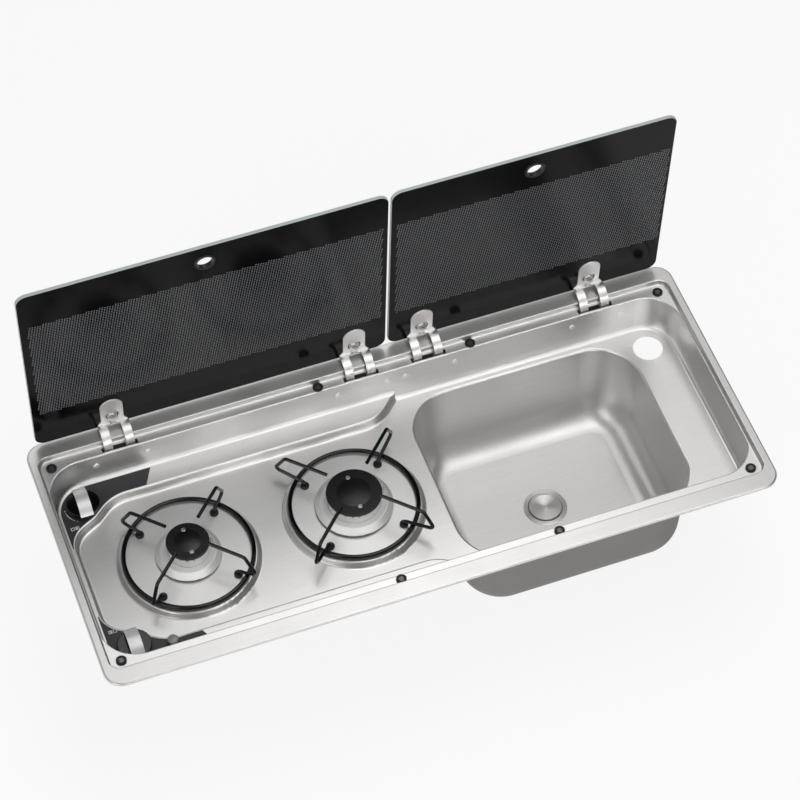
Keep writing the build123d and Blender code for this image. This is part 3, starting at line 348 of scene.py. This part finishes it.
lid = {
    "hinge": (0.0, 0.1523, -0.0079),
    "openDegrees": 87.0,
    "rearGap": 0.0144,
    # grid steps per metre along X and up the lid: a square grid of 2.86 mm turned by 10 degrees
    "gridAcross": (346.5, -60.0),
    "gridUp": (65.0, 343.5),
    "dotRadius": 0.29,  # in steps of the grid
    "dotsUp": (0.0558, 0.2175),
    "dotsAcross": {"left": (-0.357, 0.0328), "right": (0.049, 0.362)},
    "black": "#050506",
    "dot": "#7b7d80",
    "ground": "#b4bab8",
    "gloss": 0.14,
    "dotMatt": 0.2,  # added to the roughness of printed dots
    "groundMatt": 0.3,  # added to the roughness of the ground edge
    "edgeFacing": 0.9,  # where less of the normal than this points out of the glass, it is the edge
}


# toughened black glass: deep gloss, grey screen-printed dots, light ground edge
# a place's grid step is across * first + up * second, and it is in a dot where the distance from the
# middle of its step is less than dotRadius; only dots whose middle is in the printed field are drawn
def printedGlass(side):
    name = "black printed glass " + side
    extra = {"IOR": 1.52, "Specular_IOR_Level": 0.11}
    material, tree, shader = newFinish(name, lid["black"], 0.0, lid["gloss"], **extra)
    place = addNode(tree, "TexCoord")
    angle = math.radians(lid["openDegrees"])
    fromHinge = addNode(tree, "VectorMath", {0: place.outputs["Object"]}, operation="SUBTRACT")
    fromHinge.inputs[1].default_value = lid["hinge"]
    along = addNode(tree, "VectorMath", {0: fromHinge.outputs[0]}, operation="DOT_PRODUCT")
    along.inputs[1].default_value = (0.0, -math.cos(angle), math.sin(angle))
    across = addNode(tree, "SeparateXYZ", {0: place.outputs["Object"]}).outputs["X"]
    up = along.outputs["Value"]
    steps = []
    for key in ("gridAcross", "gridUp"):
        first, second = (reckon(tree, "MULTIPLY", *pair) for pair in zip((across, up), lid[key]))
        steps.append(reckon(tree, "ADD", first, second))
    offsets = [reckon(tree, "SUBTRACT", reckon(tree, "FRACT", step), 0.5) for step in steps]
    squares = [reckon(tree, "MULTIPLY", offset, offset) for offset in offsets]
    dot = reckon(tree, "LESS_THAN", reckon(tree, "ADD", *squares), lid["dotRadius"] ** 2)
    back = np.linalg.inv(np.array([lid["gridAcross"], lid["gridUp"]]))
    middles = []
    for value, row in zip((across, up), back.tolist()):
        shifts = [reckon(tree, "MULTIPLY", *pair) for pair in zip(offsets, row)]
        middles.append(reckon(tree, "SUBTRACT", value, reckon(tree, "ADD", *shifts)))
    low, high = lid["dotsUp"]
    fields = (lid["dotsAcross"][side], (low + lid["rearGap"], high + lid["rearGap"]))
    printed = dot
    for value, (least, most) in zip(middles, fields):
        printed = reckon(tree, "MULTIPLY", printed, reckon(tree, "GREATER_THAN", value, least))
        printed = reckon(tree, "MULTIPLY", printed, reckon(tree, "LESS_THAN", value, most))
    facing = addNode(tree, "VectorMath", {0: place.outputs["Normal"]}, operation="DOT_PRODUCT")
    facing.inputs[1].default_value = (0.0, math.sin(angle), math.cos(angle))
    outward = reckon(tree, "ABSOLUTE", facing.outputs["Value"])
    edge = reckon(tree, "LESS_THAN", outward, lid["edgeFacing"])
    face = varyColour(tree, shader, printed, lid["black"], lid["dot"])
    ground = addNode(tree, "Mix", {0: edge, 6: face.outputs[2]}, data_type="RGBA")
    ground.inputs[7].default_value = toLinear(lid["ground"])
    tree.links.new(ground.outputs[2], shader.inputs["Base Color"])
    edgeShare = reckon(tree, "MULTIPLY", edge, lid["groundMatt"])
    dotShare = reckon(tree, "MULTIPLY", printed, lid["dotMatt"])
    matt = reckon(tree, "ADD", edgeShare, dotShare)
    tree.links.new(reckon(tree, "ADD", matt, lid["gloss"]), shader.inputs["Roughness"])
    return material


# name, lighter colour, darker colour, metallic, roughness, grain size and depth in mm
finishes = {
    "steel": drawnStainless(),
    "turned": turnedStainless("waste_flange"),
    "stamped": stampedSteel("stamped stainless strap", "#efeeed", 0.38),
    "rivet": grained("set aluminium rivet", "#fafaf9", "#eeeeed", 0.5, 0.3, 0.5, 0.02),
    "zinc": stampedSteel("zinc plated steel", "#cdcecf", 0.3),
    "dullZinc": stampedSteel("passivated zinc screw", "#7d7e80", 0.42),
    "blackSteel": grained("black powder coated steel", "#141415", "#0c0c0d", 0.0, 0.6, 0.7, 0.05),
    "rubber": grained("moulded black rubber", "#1b1b1c", "#101011", 0.0, 0.62, 0.5, 0.05),
    "foam": grained("closed-cell foam", "#2c2c2d", "#1c1c1d", 0.0, 0.85, 0.9, 0.25),
    "cap": grained("satin black enamel", "#0f0f10", "#09090a", 0.0, 0.32, 0.35, 0.02, IOR=1.5),
    "wire": grained("glossy black enamel", "#040404", "#020202", 0.0, 0.09, 1.2, 0.01, 0.03, IOR=1.5),
    "casting": grained("shot-blasted cast aluminium", "#f1f1f0", "#e4e4e3", 0.6, 0.5, 0.35, 0.05),
    "plastic": grained("moulded black ABS", "#0f0f10", "#0a0a0b", 0.0, 0.38, 0.3, 0.02),
    "disc": grained("glossy black knob", "#070708", "#040404", 0.0, 0.2, 0.5, 0.01, 0.04),
    "plate": grained("screen-printed charcoal plate", "#3a3a3c", "#323234", 0.0, 0.48, 0.4, 0.015),
    "silver": grained("silver lacquered handle", "#ededee", "#e2e2e3", 0.45, 0.4, 0.25, 0.01),
    "button": grained("grey lacquered button", "#959697", "#868788", 0.4, 0.36, 0.25, 0.01),
    "brass": grained("machined brass", "#c9a45c", "#b08a45", 1.0, 0.3, 0.4, 0.02),
    "copper": grained("drawn copper tube", "#c77f55", "#a8653f", 1.0, 0.32, 0.8, 0.02),
    "probe": twoMetals("copper lead with a steel tip", "#b87650", "#c4c4c3", -0.052),
    "electrode": grained("glazed white ceramic", "#eceae4", "#dedbd2", 0.0, 0.16, 1.2, 0.02),
    "silicone": grained("silicone insulated lead", "#8e3b2c", "#75301f", 0.0, 0.5, 0.6, 0.03),
    "moulding": grained("moulded grey polypropylene", "#c9c8c3", "#b9b8b3", 0.0, 0.45, 0.6, 0.03),
}
wears = {
    "steel": ["pressed_top"],
    "turned": ["waste_flange", "waste_strainer", "waste_screw"],
    "stamped": ["hinge_arms_left", "hinge_arms_right"],
    "rivet": ["hinge_rivets"],
    "zinc": ["hinge_pins", "hinge_washers", "gas_rail", "button_spring"],
    "dullZinc": ["fixing_screws"],
    "blackSteel": ["hinge_brackets"],
    "rubber": ["lid_buffers", "pan_grommets", "waste_seal"],
    "foam": ["rim_seal"],
    "cap": ["burner_cap_left", "burner_cap_right"],
    "wire": ["pan_support_left", "pan_support_right"],
    "casting": [],
    "plastic": ["ignition_switch", "spark_generator"],
    "disc": ["knob_disc_rear", "knob_disc_front"],
    "plate": ["control_plate_rear", "control_plate_front"],
    "silver": ["knob_handle_rear", "knob_handle_front"],
    "button": ["ignition_button"],
    "brass": ["injectors", "pipe_nuts"],
    "copper": ["feed_pipe_left", "feed_pipe_right"],
    "probe": ["thermocouples"],
    "electrode": ["electrodes"],
    "silicone": ["ignition_leads"],
    "moulding": ["waste_body"],
}
for side in sides:
    wears["zinc"] += ["hinge_screws_" + side, "cap_screws_" + side]
    wears["plastic"] += ["grip_grommet_" + side, "hinge_nuts_" + side]
    wears["casting"] += [part + side for part in ("burner_body_", "burner_skirt_", "burner_crown_")]
for row in rows:
    wears["brass"] += ["tap_body_" + row, "tap_stem_" + row]
    wears["zinc"] += ["tap_rod_" + row]


# gives a node one finish
def dress(name, material):
    mesh = nodes[name].data
    mesh.materials.clear()
    mesh.materials.append(material)


for finish, names in wears.items():
    for name in names:
        dress(name, finishes[finish])
for side in sides:
    dress("lid_glass_" + side, printedGlass(side))
print("finishes laid on")


# printed marks on the control plates, in metres

marks = {
    "height": -0.04047,  # 0.03 mm above the plates, so that the print lies on them
    "knob": (-0.3345, 0.096),
    "dialRadius": 0.0206,
    "dialSteps": 24,
    "dialAngles": (186, 205, 229),  # the dial is a curved wedge: its half width at each of these angles
    "dialHalf": (0.0004, 0.0006, 0.00025),
    "ringAngle": 180,
    "ringRadius": (0.0006, 0.0011),
    "dotAngle": 237,
    "dotRadius": (0.0001, 0.0006),
    "icon": {"rear": (-0.3510, 0.0706), "front": (-0.3510, -0.0694)},
    "square": 0.0043,
    "frame": 0.0009,
    "bar": 0.0016,
    "gap": 0.0004,
}


# quads between two radii, centre + radius * (cos, sin) at every angle in degrees
def band(centre, angles, inner, outer):
    turns = np.radians(angles)
    arms = np.column_stack((np.cos(turns), np.sin(turns)))
    corners = np.concatenate((centre + arms * inner[:, None], centre + arms * outer[:, None]))
    first = np.arange(len(angles) - 1)
    return corners, np.column_stack((first, first + len(angles), first + len(angles) + 1, first + 1))


# one rectangle
def patch(x0, y0, x1, y1):
    return np.array([(x0, y0), (x1, y0), (x1, y1), (x0, y1)]), np.array([(0, 1, 2, 3)])


# four rectangles along the inside of a rectangle's sides
def frameOf(x0, y0, x1, y1, line):
    inner = (y0 + line, y1 - line)
    return [
        patch(x0, y0, x1, inner[0]),
        patch(x0, inner[1], x1, y1),
        patch(x0, inner[0], x0 + line, inner[1]),
        patch(x1 - line, inner[0], x1, inner[1]),
    ]


# joins flat shapes into one mesh that lies on the plates and rides on the base
def printMark(name, shapes, material):
    starts = np.cumsum([0] + [len(shape[0]) for shape in shapes[:-1]])
    flat = np.concatenate([shape[0] for shape in shapes])
    faces = np.concatenate([shape[1] + start for start, shape in zip(starts, shapes)])
    points = np.column_stack((flat, np.full(len(flat), marks["height"])))
    mesh = bpy.data.meshes.new(name)
    mesh.from_pydata(points.tolist(), [], faces.tolist())
    mesh.materials.append(material)
    piece = bpy.data.objects.new(name, mesh)
    bpy.context.scene.collection.objects.link(piece)
    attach(piece, "base")


# a full ring on the dial's circle at an angle in degrees, at knob + dialRadius * (cos, sin)
def ringAt(angle, inner, outer):
    turn = math.radians(angle)
    middle = np.array(marks["knob"]) + marks["dialRadius"] * np.array((math.cos(turn), math.sin(turn)))
    around = np.linspace(0, 360, marks["dialSteps"])
    return band(middle, around, np.full(len(around), inner), np.full(len(around), outer))


# the rear knob's dial: a curved wedge, which swells and tapers, with a ring at its start and a dot at its end
def printDial(ink):
    angles = marks["dialAngles"]
    along = np.linspace(angles[0], angles[-1], marks["dialSteps"])
    half = np.interp(along, angles, marks["dialHalf"])
    wedge = band(np.array(marks["knob"]), along, marks["dialRadius"] - half, marks["dialRadius"] + half)
    ring = ringAt(marks["ringAngle"], *marks["ringRadius"])
    dot = ringAt(marks["dotAngle"], *marks["dotRadius"])
    printMark("dial_print_rear", [wedge, ring, dot], ink)


# an icon of two square frames beside each knob, with a bar in the frame that stands for its burner
def printIcon(row, ink):
    x, y = marks["icon"][row]
    square, gap, line = marks["square"], marks["gap"], marks["frame"]
    low = y - square / 2
    shapes = []
    for x0 in (x - gap - square, x + gap):
        shapes += frameOf(x0, low, x0 + square, low + square, line)
    way = 1 if row == "rear" else -1
    bar = x + way * (gap + line)
    x0, x1 = sorted((bar, bar + way * marks["bar"]))
    shapes.append(patch(x0, low + line, x1, low + square - line))
    printMark("burner_icon_" + row, shapes, ink)


ink = grained("white screen print", "#dcdcdc", "#c6c6c6", 0.0, 0.5, 0.3, 0.005)
printDial(ink)
for row in rows:
    printIcon(row, ink)
print("marks printed")
